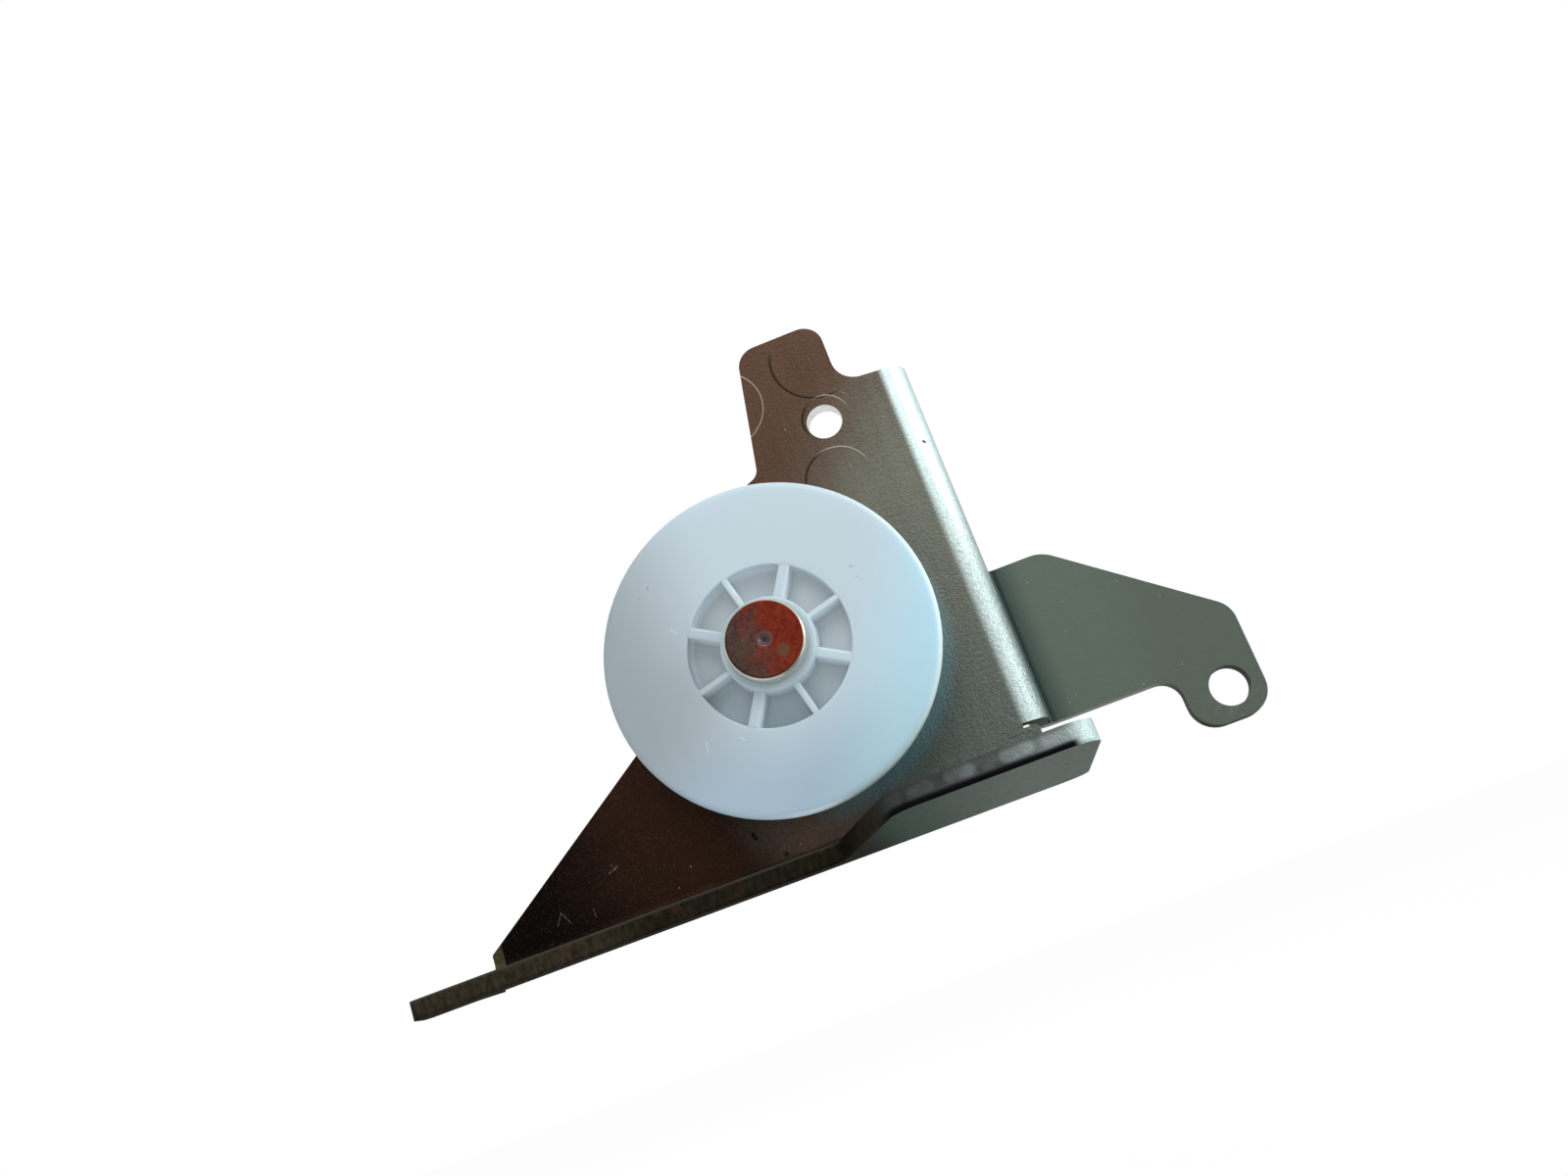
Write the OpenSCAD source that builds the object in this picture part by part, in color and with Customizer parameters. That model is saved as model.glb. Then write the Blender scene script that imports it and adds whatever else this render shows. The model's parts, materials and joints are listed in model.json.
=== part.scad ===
// Roller bracket of a microwave oven's door hinge.
// One folded and zinc plated steel sheet carries a moulded roller on a headed
// shoulder rivet. The hinge arm of the door runs over the roller.
//
// Frame: the origin is the centre of the upper screw hole, on the front face of
// the main plate. X runs along the lower flange to the right, Z is up, and Y
// points from the viewer through the plate. Outlines are drawn about the axis of
// the roller, and place() moves every piece into the frame.

/* [Sheet] */
// Thickness of the steel sheet
sheet_t = 2.0; // [1.5:0.1:2.5]
// Inner radius of every bend
bend_r = 1.0; // [0.8:0.1:1.5]

/* [Main plate] */
// From the roller axis left to the end of the plate
plate_left = 39.4; // [32:0.2:50]
// From the roller axis right to the start of the side bend
plate_right = 21.3; // [20:0.1:26]
// From the roller axis down to the outer face of the lower flange
flange_drop = 22.8; // [21.5:0.1:28]
// Height of the plate's square left end above the lower bend
end_h = 0.9; // [0.6:0.1:3]
// Angle of the sloping edge above the left end
slope_angle = 34.7; // [30:0.1:38]
// From the roller axis left to the corner where the slope steepens
knee_left = 16.0; // [13:0.5:18]
// Radius of that corner
knee_r = 8.0; // [4:0.5:10]
// From the roller axis up to the top edge beside the side bend
shoulder_h = 27.2; // [25:0.1:30]

/* [Ear] */
// Width of the ear at its top
ear_w = 9.7; // [9:0.1:13]
// From the roller axis up to the top of the ear
ear_h = 35.6; // [34:0.1:42]
// From the roller axis right to the right side of the ear
ear_right = 16.7; // [15.5:0.1:18]
// Corner radius at the top of the ear
ear_r = 2.4; // [1:0.1:3.5]
// How far the left side of the ear leans outward at its foot
ear_lean = 2.55; // [0:0.05:4]
// From the roller axis up to the ledge at the left foot of the ear
ledge_h = 20.7; // [19.5:0.1:22]
// Length of that ledge
ledge_w = 3.55; // [2.5:0.05:5]
// Drop of the ledge over its length
ledge_fall = 1.4; // [0.5:0.1:2]
// Radius of the fillets at the foot of the ear
ear_foot_r = 1.5; // [0.8:0.1:2]
// Radius of the fillet between the ear and the shoulder
shoulder_r = 2.8; // [1:0.1:3.5]
// How much higher the shoulder is beside the ear
shoulder_lift = 0.4; // [0:0.1:1]

/* [Screw holes] */
// From the roller axis right to the upper screw hole
hole_x = 13.6; // [12:0.1:14]
// From the roller axis up to the upper screw hole
hole_z = 23.8; // [21:0.1:28]
// Diameter of the upper screw hole
hole_d = 4.0; // [3:0.1:5]
// Diameter of the screw hole in the tab
tab_hole_d = 4.4; // [3:0.1:5]

/* [Lower flange] */
// Width of the low part of the flange, from the front face of the plate
low_w = 4.0; // [3.5:0.1:7]
// Width of the wide part of the flange, from the front face of the plate
wide_w = 27.5; // [18:0.5:36]
// From the roller axis left to the foot of the rising edge
rise_foot = 0.4; // [-2:0.1:4]
// Angle of the rising edge from the length of the flange
rise_angle = 72; // [60:1:85]
// Fillet radius at the foot of the rising edge
rise_foot_r = 1.5; // [0.5:0.1:4]
// Radius at the top of the rising edge
rise_top_r = 3.0; // [1:0.1:5]
// From the roller axis right to the free end of the flange
flange_right = 25.5; // [22.5:0.1:32]
// Corner radius of the free end
flange_r = 3.0; // [1:0.1:5]
// Radius of the back corner of the free end
flange_back_r = 2.2; // [1:0.1:4]

// From the roller axis right to the end of the lower bend
fold_right = 22.9; // [21.5:0.1:27]
// Width of the relief cut between the side bend and the foot of the plate
relief_w = 0.5; // [0.3:0.1:1.5]

/* [Locating tongue] */
// Length of the tongue beyond the left end of the plate
tongue_l = 8.6; // [5:0.1:12]
// How far the back edge of the tongue lies in front of the plate's front face
tongue_back = 0.2; // [0:0.1:0.6]
// How far the root of the tongue flares behind its back edge
tongue_flare = 1.3; // [0.5:0.1:1.6]
// Radius of the tongue's corners
tongue_r = 0.9; // [0.4:0.1:1.6]

/* [Side flange and tab] */
// From the roller axis down to the lower edge of the side flange and the tab
side_drop = 15.6; // [13:0.1:18]
// Set-back of the tab's front face behind the main plate's front face
tab_back = 7.5; // [6.5:0.1:12]
// From the roller axis up to the top edge of the tab
tab_h = 2.7; // [0:0.1:8]
// From the outer face of the side flange right to the start of the tab's slope
tab_top_w = 6.5; // [5.5:0.1:10]
// Angle of the tab's sloping edge
tab_slope = 38.4; // [30:0.2:45]
// Radius where the slope starts
tab_top_r = 4.0; // [2:0.2:6]
// Width of the lobe that carries the tab's screw hole
lobe_w = 8.5; // [7.5:0.1:10]
// From the outer face of the side flange right to the far side of the lobe
lobe_reach = 23.1; // [20:0.1:30]
// From the lower edge of the tab down to the end of the lobe
lobe_drop = 6.55; // [5:0.1:9]
// Radius of the lobe's lower corners
lobe_r = 3.0; // [1.5:0.1:3.6]
// Radius of the fillet between the tab and the lobe
lobe_fillet_r = 2.3; // [1:0.1:3.5]
// Corner radius of the side flange at its top
side_r = 2.0; // [0.5:0.1:3]

/* [Roller] */
// Outer diameter of the roller's rim, the disc in front of the tread
roller_d = 35.4; // [32:0.1:36]
// Thickness of the rim
rim_t = 1.8; // [1.5:0.1:2.5]
// Edge rounding of the rim
rim_r = 0.6; // [0.3:0.1:0.7]
// How far the rim stands out over the tread that the hinge arm runs on
rim_step = 2.5; // [1.6:0.1:3.5]
// Width of the roller from its face to its back
roller_w = 6.3; // [5:0.1:9]
// Gap between the roller's back and the main plate
roller_gap = 1.2; // [0.8:0.1:2]
// Edge rounding at the back of the tread
tread_r = 0.6; // [0.3:0.1:1.2]
// Diameter of the recess in the roller's face
recess_d = 17.2; // [15:0.1:22]
// Depth of the recess
recess_depth = 2.0; // [1.5:0.1:4]
// Diameter of the hub
hub_d = 10.0; // [9:0.2:12]
// How far the hub stands proud of the roller's face
hub_proud = 0.65; // [0.3:0.05:1.2]
// Chamfer round the end of the hub
hub_chamfer = 0.3; // [0.1:0.05:0.6]
// Number of ribs across the recess, wide and narrow ones by turns
rib_count = 8; // [4:2:12]
// Thickness of the wide ribs
rib_wide = 1.2; // [0.8:0.1:1.6]
// Thickness of the narrow ribs
rib_narrow = 0.65; // [0.5:0.05:1.2]
// Turn of the first wide rib from the length of the flange
rib_turn = -30.0; // [-45:0.5:45]

/* [Axle rivet] */
// Diameter of the shoulder that the roller turns on
axle_d = 6.0; // [5:0.1:7]
// Radial clearance between the shoulder and the roller's bore
axle_clearance = 0.06; // [0.02:0.01:0.1]
// Clearance between the hub and the faces at its two ends
end_clearance = 0.15; // [0.1:0.05:0.4]
// Diameter of the rivet's head
head_d = 8.5; // [7.4:0.1:9.2]
// Thickness of the rivet's head
head_t = 1.95; // [1.2:0.05:2.5]
// Chamfer round the rim of the head
head_chamfer = 0.2; // [0.1:0.05:0.6]
// Radius of the centre mark in the head
dimple_r = 0.65; // [0.3:0.05:1]
// Diameter of the tail that goes through the plate
tail_d = 4.6; // [3.5:0.1:5]
// Radial clearance of the tail in the plate
tail_clearance = 0.02; // [0.01:0.01:0.05]
// Diameter of the head formed behind the plate
peen_d = 7.4; // [6:0.1:9]
// Height of the head formed behind the plate
peen_h = 1.2; // [0.8:0.1:2]

/* [Hidden] */
$fn = 96;
eps = 0.01;
arc_steps = 8;
bend_out = bend_r + sheet_t;
// Height at which the plate runs into the lower bend
plate_low = -flange_drop + bend_out;
// Top of the plate's foot, below the relief cut
foot_top = -side_drop - relief_w;
// Side flange: its outer face, and the place where it runs into the tab's bend
side_x = plate_right + bend_out;
side_end = tab_back - bend_r;
// Tab: its slope and its lobe
tab_tangent = side_x + bend_r;
tab_top_x = side_x + tab_top_w;
lobe_x = side_x + lobe_reach;
lobe_left = lobe_x - lobe_w;
lobe_low = -side_drop - lobe_drop;
tab_side_z = tab_h - (lobe_x - tab_top_x) * tan(tab_slope);
// The lobe's screw hole keeps the same margin to the side and to the end
hole_margin = 3.65;
tab_hole_x = lobe_x - hole_margin;
tab_hole_z = lobe_low + hole_margin;
// Ear: the left side leans, and the ledge at its foot runs out to the left
ear_left = ear_right - ear_w;
ear_foot_x = ear_left - ear_lean;
ledge_x = ear_foot_x - ledge_w;
ledge_z = ledge_h - ledge_fall;
knee_z = plate_low + end_h + (plate_left - knee_left) * tan(slope_angle);
// Rising edge of the lower flange
rise_top = (wide_w - low_w) / tan(rise_angle) - rise_foot;
// Roller and rivet along Y, all in front of the plate's front face
roller_back = -roller_gap;
roller_face = roller_back - roller_w;
hub_face = roller_face - hub_proud;
head_back = hub_face - end_clearance;
head_face = head_back - head_t;
bore_r = axle_d / 2 + axle_clearance;

// Outline with rounded corners
function flat(c) = [c[0], c[1]];
function unit(v) = v / norm(v);

// Arc that rounds the corner at p to radius r, between the corners q and s.
// It is tangent to both edges, so it serves for corners in and out.
function fillet(q, p, s, r) =
    let (
        back = unit(q - p),
        ahead = unit(s - p),
        half = acos(back * ahead) / 2,
        centre = p + unit(back + ahead) * r / sin(half),
        from = p + back * r / tan(half) - centre,
        to = p + ahead * r / tan(half) - centre,
        start = atan2(from[1], from[0]),
        turn = atan2(from[0] * to[1] - from[1] * to[0], from * to)
    )
    [for (k = [0 : arc_steps])
        centre + r * [cos(start + turn * k / arc_steps), sin(start + turn * k / arc_steps)]];

// Closed outline through the corners [x, y, radius], with radius 0 for a sharp one
function outline(corners) =
    let (n = len(corners))
    [for (i = [0 : n - 1])
        let (
            p = flat(corners[i]),
            q = flat(corners[(i + n - 1) % n]),
            s = flat(corners[(i + 1) % n]),
            r = corners[i][2]
        )
        each (r > 0 ? fillet(q, p, s, r) : [p])];

// Moves a piece drawn about the roller axis into the frame of the screw hole
module place() {
    translate([-hole_x, 0, -hole_z])
        children();
}

// Sheet that stands upright, its outline in X and Z and its front face at y
module upright(y) {
    translate([0, y + sheet_t, 0])
        rotate([90, 0, 0])
            linear_extrude(sheet_t)
                children();
}

// Quarter ring of sheet round its bend axis, which runs up from the origin
module bend(length) {
    rotate_extrude(angle = 90)
        translate([bend_r, 0])
            square([sheet_t, length]);
}

// Hole through an upright sheet
module drill(x, z, d, y) {
    translate([x, y - eps, z])
        rotate([-90, 0, 0])
            cylinder(h = sheet_t + 2 * eps, d = d);
}

// Main plate with the sloping edge, the ear and the shoulder
module main_plate() {
    upright(0)
        polygon(outline([
            [-plate_left, plate_low, 0],
            [fold_right, plate_low, 0],
            [fold_right, foot_top, relief_w],
            [plate_right, foot_top, 0],
            [plate_right, shoulder_h, 0],
            [ear_right, shoulder_h + shoulder_lift, shoulder_r],
            [ear_right, ear_h, ear_r],
            [ear_left, ear_h, ear_r],
            [ear_foot_x, ledge_h, ear_foot_r],
            [ledge_x, ledge_z, ear_foot_r],
            [-knee_left, knee_z, knee_r],
            [-plate_left, plate_low + end_h, end_h / 3]
        ]));
}

// Lower flange: low beside the tongue, then a rising edge up to the wide part.
// Its outline lies in X and Y.
module lower_flange() {
    translate([0, 0, -flange_drop])
        linear_extrude(sheet_t)
            polygon(outline([
                [-plate_left - tongue_l, -low_w, tongue_r],
                [-rise_foot, -low_w, rise_foot_r],
                [rise_top, -wide_w, rise_top_r],
                [flange_right, -wide_w, flange_r],
                [flange_right, -bend_r, flange_back_r],
                [-plate_left, -bend_r, 0],
                [-plate_left, tongue_flare - tongue_back, 0],
                [-plate_left - 2 * tongue_flare, -tongue_back, tongue_flare],
                [-plate_left - tongue_l, -tongue_back, tongue_r]
            ]));
}

// Bend along the foot of the plate
module lower_bend() {
    translate([-plate_left, -bend_r, plate_low])
        rotate([0, 90, 0])
            bend(plate_left + fold_right);
}

// Bend at the right of the plate and the side flange behind it
module side_flange() {
    translate([plate_right, bend_out, -side_drop])
        rotate([0, 0, -90])
            bend(side_drop + shoulder_h);
    translate([side_x - sheet_t, 0, 0])
        rotate([90, 0, 90])
            linear_extrude(sheet_t)
                polygon(outline([
                    [bend_out, -side_drop, 0],
                    [side_end, -side_drop, 0],
                    [side_end, shoulder_h, side_r],
                    [bend_out, shoulder_h, 0]
                ]));
}

// Tab that stands off the side flange, with the lobe for its screw hole
module tab() {
    translate([tab_tangent, side_end, -side_drop])
        rotate([0, 0, 90])
            bend(side_drop + tab_h);
    upright(tab_back)
        polygon(outline([
            [tab_tangent, -side_drop, 0],
            [lobe_left, -side_drop, lobe_fillet_r],
            [lobe_left, lobe_low, lobe_r],
            [lobe_x, lobe_low, lobe_r],
            [lobe_x, tab_side_z, lobe_r],
            [tab_top_x, tab_h, tab_top_r],
            [tab_tangent, tab_h, 0]
        ]));
}

// Bracket: one folded sheet
module bracket() {
    color([0.47, 0.45, 0.38])
        place()
            difference() {
                union() {
                    main_plate();
                    lower_flange();
                    lower_bend();
                    side_flange();
                    tab();
                }
                drill(hole_x, hole_z, hole_d, 0);
                drill(0, 0, tail_d + 2 * tail_clearance, 0);
                drill(tab_hole_x, tab_hole_z, tab_hole_d, tab_back);
            }
}

// Half section of the rivet: radius against Y, which runs through the plate
module rivet_section() {
    head_r = head_d / 2;
    polygon([
        [0, head_face + dimple_r / 2],
        [dimple_r, head_face],
        [head_r - head_chamfer, head_face],
        [head_r, head_face + head_chamfer],
        [head_r, head_back],
        [axle_d / 2, head_back],
        [axle_d / 2, 0],
        [tail_d / 2, 0],
        [tail_d / 2, sheet_t],
        [peen_d / 2, sheet_t],
        [peen_d / 2 - peen_h / 3, sheet_t + peen_h * 2 / 3],
        [peen_d / 4, sheet_t + peen_h],
        [0, sheet_t + peen_h]
    ]);
}

// Axle rivet: head, shoulder for the roller, and tail set behind the plate
module axle_rivet() {
    color([0.55, 0.42, 0.36])
        place()
            rotate([-90, 0, 0])
                rotate_extrude()
                    rivet_section();
}

// Half section of the roller, with its rim and its tread: radius against Y
module roller_section() {
    rim = roller_d / 2;
    rim_back = roller_face + rim_t;
    tread = rim - rim_step;
    difference() {
        union() {
            polygon(outline([
                [bore_r, roller_face, 0],
                [rim, roller_face, rim_r],
                [rim, rim_back, rim_r],
                [tread, rim_back, rim_r],
                [tread, roller_back, tread_r],
                [bore_r, roller_back, 0]
            ]));
            polygon([
                [bore_r, hub_face],
                [hub_d / 2 - hub_chamfer, hub_face],
                [hub_d / 2, hub_face + hub_chamfer],
                [hub_d / 2, -end_clearance - hub_chamfer],
                [hub_d / 2 - hub_chamfer, -end_clearance],
                [bore_r, -end_clearance]
            ]);
        }
        translate([hub_d / 2, roller_face - eps])
            square([(recess_d - hub_d) / 2, recess_depth + eps]);
    }
}

// Ribs between the hub and the rim of the recess, level with the roller's face
module ribs() {
    bite = 0.3;
    for (k = [0 : rib_count - 1]) {
        thick = k % 2 == 0 ? rib_wide : rib_narrow;
        rotate([0, 0, -rib_turn - k * 360 / rib_count])
            translate([hub_d / 2 - bite, -thick / 2, roller_face])
                cube([(recess_d - hub_d) / 2 + 2 * bite, thick, recess_depth + bite]);
    }
}

// Roller: moulded wheel with a ribbed recess round its hub
module roller() {
    color([0.85, 0.9, 0.92])
        place()
            rotate([-90, 0, 0]) {
                rotate_extrude()
                    roller_section();
                ribs();
            }
}

bracket();
axle_rivet();
roller();
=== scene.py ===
# %% [markdown]
# # The roller bracket of an oven door's hinge
# One folded steel sheet carries a milky nylon roller on a headed rivet. The
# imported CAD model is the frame: it fixes every place and size, and this script
# adds the surfaces and finishes that a camera sees. The zinc on the sheet is
# tarnished, its sheared edges rust a little, and the rivet's head is stained.

import json
import math

import bmesh
import bpy
import numpy as np
from mathutils import Matrix, Vector


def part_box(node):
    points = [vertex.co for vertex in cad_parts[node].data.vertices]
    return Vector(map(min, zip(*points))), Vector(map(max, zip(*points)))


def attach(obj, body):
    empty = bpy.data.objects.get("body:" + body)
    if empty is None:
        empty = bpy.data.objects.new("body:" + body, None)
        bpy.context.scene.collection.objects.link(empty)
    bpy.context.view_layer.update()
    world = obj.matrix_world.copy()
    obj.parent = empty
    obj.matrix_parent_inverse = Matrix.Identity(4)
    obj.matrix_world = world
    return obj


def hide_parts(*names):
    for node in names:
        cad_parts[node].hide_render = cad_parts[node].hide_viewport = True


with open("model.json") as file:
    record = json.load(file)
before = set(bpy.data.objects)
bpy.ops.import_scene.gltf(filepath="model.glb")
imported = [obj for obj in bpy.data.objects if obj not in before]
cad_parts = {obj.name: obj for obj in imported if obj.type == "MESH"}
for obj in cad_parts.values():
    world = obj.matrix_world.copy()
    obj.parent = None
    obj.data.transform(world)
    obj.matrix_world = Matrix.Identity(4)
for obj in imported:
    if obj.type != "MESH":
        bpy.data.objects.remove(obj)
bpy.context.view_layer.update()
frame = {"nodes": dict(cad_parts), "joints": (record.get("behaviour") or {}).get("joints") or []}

MM = 0.001
spin = next(j for j in frame["joints"] if j["name"] == "roller_spin")
AXLE = np.array(spin["pos_m"])
print("frame:", sorted(frame["nodes"]), "roller axis at", AXLE / MM, "mm")

# %% [markdown]
# ## Reading sizes from the frame
# Sizes that the CAD model already holds are read from the boxes of its nodes, so
# that a new surface always lies where its solid is. Only what a box can't say,
# such as the depth of the recess, is written here as a real size.


# %% Sizes of the three pieces
def node_box(name):
    """Lowest and highest corner of a CAD node in millimetres."""
    low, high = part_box(name)
    return np.array(low) / MM, np.array(high) / MM


roller_low, roller_high = node_box("roller")
rivet_low, rivet_high = node_box("axle_rivet")
bracket_low, bracket_high = node_box("bracket")

RIM_R = (roller_high[0] - roller_low[0]) / 2
RIM_T = 1.8
TREAD_R = RIM_R - 2.5
HUB_PROUD = 0.65
END_CLEARANCE = 0.15
HUB_FACE = roller_low[1]
FACE = HUB_FACE + HUB_PROUD
ROLLER_BACK = -1.2
HUB_R = 5.0
BORE_R = 3.06
RECESS_R = 8.6
RECESS_DEPTH = 2.0

HEAD_R = (rivet_high[0] - rivet_low[0]) / 2
HEAD_FACE = rivet_low[1]
HEAD_T = 1.95
TAIL_END = rivet_high[1]
SHEET_T = 2.0
print("rim radius", round(RIM_R, 2), "face at y", round(FACE, 2), "head at y", round(HEAD_FACE, 2))

# %% [markdown]
# ## The camera
# The photograph was taken from close by, so the wide flange comes out large and
# the plate behind it small. Such a view can't be guessed by eye. The photograph's
# own lines were fitted instead: they give the point of the plate straight in
# front of the lens, the distance to it, the point in the middle of the picture
# and a second point above it. From those four values the camera's turn follows.

# %% Camera from four fitted values
LENS_DISTANCE = 142.9
FOOT = Vector((-0.6, -LENS_DISTANCE, -59.8))
PICTURE_CENTRE = Vector((-10.66, 0.0, -16.46))
PICTURE_ABOVE = Vector((-3.06, 0.0, 5.14))
LENS_MM = 31.5


def aim(camera, place, centre, above):
    """Turns the camera to look from place at centre, with above straight over it in the picture."""
    forward = (centre - place).normalized()
    up = above - place
    up = (up - forward * up.dot(forward)).normalized()
    turn = Matrix((forward.cross(up), up, -forward)).transposed().to_4x4()
    camera.matrix_world = Matrix.Translation(place * MM) @ turn


camera = bpy.data.objects.new("camera", bpy.data.cameras.new("camera"))
bpy.context.collection.objects.link(camera)
bpy.context.scene.camera = camera
camera.data.lens = LENS_MM
camera.data.sensor_width = 36.0
camera.data.clip_start = 0.01
camera.data.clip_end = 20.0
aim(camera, FOOT, PICTURE_CENTRE, PICTURE_ABOVE)
print("camera at", [round(c / MM, 1) for c in camera.matrix_world.translation], "mm")

# %% [markdown]
# ## Floor, world and lamps
# Metal shows what stands round it, so the room is kept plain: a white world that
# the camera and the reflections see, a softer one that lights the piece, and
# three large lamps. The lamp at the right draws the long light line on the side
# bend, over a painted highlight in the zinc's colour there. The floor is white and keeps a soft shadow.


# %% World and floor
def world_light(level):
    """World that is white to the camera and in reflections, and of the level given as light."""
    world = bpy.data.worlds.new("room")
    bpy.context.scene.world = world
    world.use_nodes = True
    nodes, links = world.node_tree.nodes, world.node_tree.links
    path = nodes.new("ShaderNodeLightPath")
    seen = nodes.new("ShaderNodeMath")
    seen.operation = "MAXIMUM"
    links.new(path.outputs["Is Camera Ray"], seen.inputs[0])
    links.new(path.outputs["Is Transmission Ray"], seen.inputs[1])
    glossy = nodes.new("ShaderNodeMath")
    glossy.operation = "MAXIMUM"
    links.new(seen.outputs[0], glossy.inputs[0])
    links.new(path.outputs["Is Glossy Ray"], glossy.inputs[1])
    strength = nodes.new("ShaderNodeMapRange")
    strength.inputs["To Min"].default_value = level
    strength.inputs["To Max"].default_value = 1.0
    links.new(glossy.outputs[0], strength.inputs["Value"])
    back = nodes["Background"]
    back.inputs["Color"].default_value = (1, 1, 1, 1)
    links.new(strength.outputs[0], back.inputs["Strength"])


FLOOR_DROP = 45.0
FLOOR_HALF = 4000.0
world_light(0.5)
floor_z = (bracket_low[2] - FLOOR_DROP) * MM
half = FLOOR_HALF * MM
floor_mesh = bpy.data.meshes.new("floor")
floor_mesh.from_pydata(
    [(-half, -half, floor_z), (half, -half, floor_z), (half, half, floor_z), (-half, half, floor_z)],
    [],
    [(0, 1, 2, 3)],
)
floor = bpy.data.objects.new("floor", floor_mesh)
bpy.context.collection.objects.link(floor)

paint = bpy.data.materials.new("floor_white")
paint.use_nodes = True
tree = paint.node_tree
tree.nodes["Principled BSDF"].inputs["Base Color"].default_value = (0.86, 0.86, 0.86, 1)
tree.nodes["Principled BSDF"].inputs["Roughness"].default_value = 0.9
path = tree.nodes.new("ShaderNodeLightPath")
glow = tree.nodes.new("ShaderNodeEmission")
share = tree.nodes.new("ShaderNodeMath")
share.operation = "MULTIPLY"
share.inputs[1].default_value = 0.97
mixed = tree.nodes.new("ShaderNodeMixShader")
tree.links.new(path.outputs["Is Camera Ray"], share.inputs[0])
tree.links.new(share.outputs[0], mixed.inputs[0])
tree.links.new(tree.nodes["Principled BSDF"].outputs[0], mixed.inputs[1])
tree.links.new(glow.outputs[0], mixed.inputs[2])
tree.links.new(mixed.outputs[0], tree.nodes["Material Output"].inputs["Surface"])
floor_mesh.materials.append(paint)
print("floor at z", round(floor_z / MM, 1), "mm")


# %% Lamps
def lamp(name, place, size, watts, tint=(1, 1, 1)):
    """Square area lamp at a place in millimetres, turned to the roller's axis."""
    light = bpy.data.lights.new(name, "AREA")
    light.size = size * MM
    light.energy = watts
    light.color = tint
    item = bpy.data.objects.new(name, light)
    bpy.context.collection.objects.link(item)
    towards = Vector(AXLE) - Vector(place) * MM
    item.location = Vector(place) * MM
    item.rotation_mode = "QUATERNION"
    item.rotation_quaternion = towards.to_track_quat("-Z", "Y")
    return item


lamp("lamp_front", (60, -380, 420), 320, 1.1)
lamp("lamp_right", (420, -130, 60), 160, 0.8, (0.92, 1.0, 0.98))
lamp("lamp_back", (-120, 380, 320), 320, 1.0)

# %% [markdown]
# ## Surfaces from arrays
# A turned or moulded piece is a surface over two parameters: one runs along its
# section and one runs round its axis. numpy works out all points at once, and the
# mesh is made of the four-sided cells between them. A ring closes on itself both
# ways. A solid that reaches its axis ends there in a pole at each end instead.


# %% Closed grid to mesh
def closed_grid(points, name, poles=False):
    """Mesh of a grid of points (rows, columns, 3) in millimetres.

    Cell (i, j) joins the points (i, j), (i, j+1), (i+1, j+1) and (i+1, j). Index j
    wraps round. Index i wraps round too, so that the surface closes like a ring,
    unless the first and the last row are poles on the axis.
    """
    rows, columns = points.shape[:2]
    index = np.arange(rows * columns).reshape(rows, columns)
    right = np.roll(index, -1, axis=1)
    below = np.roll(index, -1, axis=0)
    across = np.roll(below, -1, axis=1)
    faces = np.stack([index, right, across, below], axis=-1)[: rows - 1 if poles else rows].reshape(-1, 4)
    mesh = bpy.data.meshes.new(name)
    mesh.from_pydata((points * MM).reshape(-1, 3).tolist(), [], faces.tolist())
    mesh.validate()
    mesh.polygons.foreach_set("use_smooth", np.ones(len(mesh.polygons), bool))
    item = bpy.data.objects.new(name, mesh)
    bpy.context.collection.objects.link(item)
    return item


def face_outwards(item):
    """Turns all faces of a closed piece outwards."""
    shape = bmesh.new()
    shape.from_mesh(item.data)
    bmesh.ops.remove_doubles(shape, verts=shape.verts, dist=1e-7)
    bmesh.ops.recalc_face_normals(shape, faces=shape.faces)
    shape.to_mesh(item.data)
    shape.free()


def round_corners(corners, steps):
    """Section through the corners (radius, y, rounding): each corner becomes a short arc.

    The arc is the quadratic curve from the point one rounding before the corner to
    the point one rounding after it, with the corner as its middle control point.
    """
    c = np.array(corners, float)
    at, cut = c[:, :2], c[:, 2:3]
    before = np.roll(at, 1, axis=0) - at
    after = np.roll(at, -1, axis=0) - at
    before /= np.linalg.norm(before, axis=1, keepdims=True)
    after /= np.linalg.norm(after, axis=1, keepdims=True)
    t = np.linspace(0, 1, steps)[None, :, None]
    start, end = (at + before * cut)[:, None], (at + after * cut)[:, None]
    arcs = (1 - t) ** 2 * start + 2 * t * (1 - t) * at[:, None] + t**2 * end
    return arcs.reshape(-1, 2)


def densify(section, longest, closed=True):
    """Adds points to a section so that no stretch is longer than the length given."""
    after = np.roll(section, -1, axis=0)
    counts = np.maximum(1, np.ceil(np.linalg.norm(after - section, axis=1) / longest)).astype(int)
    counts[-1] = counts[-1] if closed else 1
    owner = np.repeat(np.arange(len(section)), counts)
    first = np.cumsum(counts) - counts
    share = (np.arange(counts.sum()) - first[owner]) / counts[owner]
    return section[owner] + (after - section)[owner] * share[:, None]


print("helpers: closed_grid, face_outwards, round_corners, densify")

# %% [markdown]
# ## The roller
# The roller is moulded. Its face has a ring-shaped recess round the hub, crossed
# by eight ribs, wide and narrow ones by turns. Cutting boxes out of a wheel would
# leave hard corners. Here the section is revolved on a grid whose columns follow
# the walls of the ribs, and the floor of the recess is lifted to the face where a
# rib stands. The walls lean by a small draft, as a mould needs.

# %% Columns that follow the ribs
RIBS = 8
FIRST_RIB = math.radians(-30.0)
RIB_WIDE = 1.2
RIB_NARROW = 0.65
RIB_DRAFT = 0.09


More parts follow.
